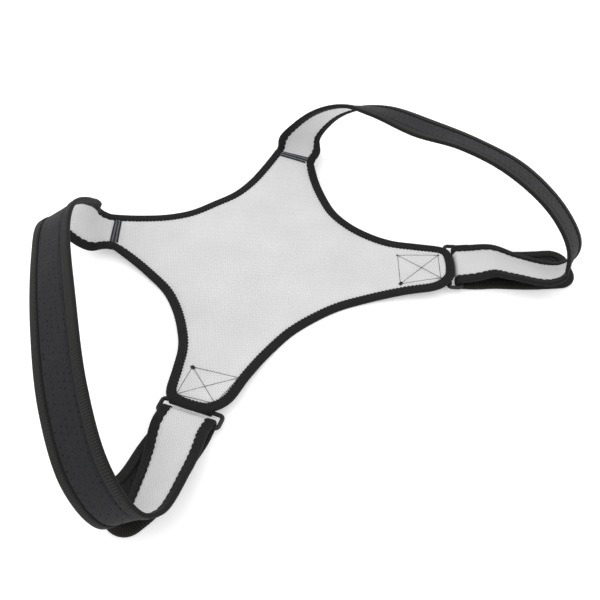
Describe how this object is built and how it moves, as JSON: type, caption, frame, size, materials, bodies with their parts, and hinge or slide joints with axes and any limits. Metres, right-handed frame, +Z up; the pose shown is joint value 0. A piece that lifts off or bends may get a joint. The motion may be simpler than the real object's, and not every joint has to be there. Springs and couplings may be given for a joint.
{
  "type": "posture corrector",
  "caption": "Soft posture corrector laid open: a four-armed mesh back pad with two shoulder straps that loop round to plastic rings at its lower arms.",
  "frame": {"origin": "middle of the footprint on the table that the object lies on", "axes": "+X to the right-hand strap, +Y towards the neck edge of the back pad, +Z up from the table, the light mesh side up"},
  "size_m": [0.5002, 0.3314, 0.1107],
  "materials": {
    "mesh_cloth": "matt warp-knit mesh",
    "strap_cloth": "matt padded cloth, dark outside, light mesh inside",
    "binding_tape": "matt woven edge tape",
    "seam_stitching": "dense zigzag stitching",
    "ring_plastic": "smooth moulded plastic",
    "webbing": "woven webbing"
  },
  "bodies": {
    "root": {"back_panel": "mesh_cloth", "panel_binding_neck": "binding_tape", "panel_binding_lower": "binding_tape", "seam_band_left": "seam_stitching", "seam_band_right": "seam_stitching", "strap_left": "strap_cloth", "strap_right": "strap_cloth", "strap_binding_left": "binding_tape", "strap_binding_right": "binding_tape", "ring_left": "ring_plastic", "ring_right": "ring_plastic", "ring_webbing_left": "webbing", "ring_webbing_right": "webbing"}
  },
  "joints": []
}
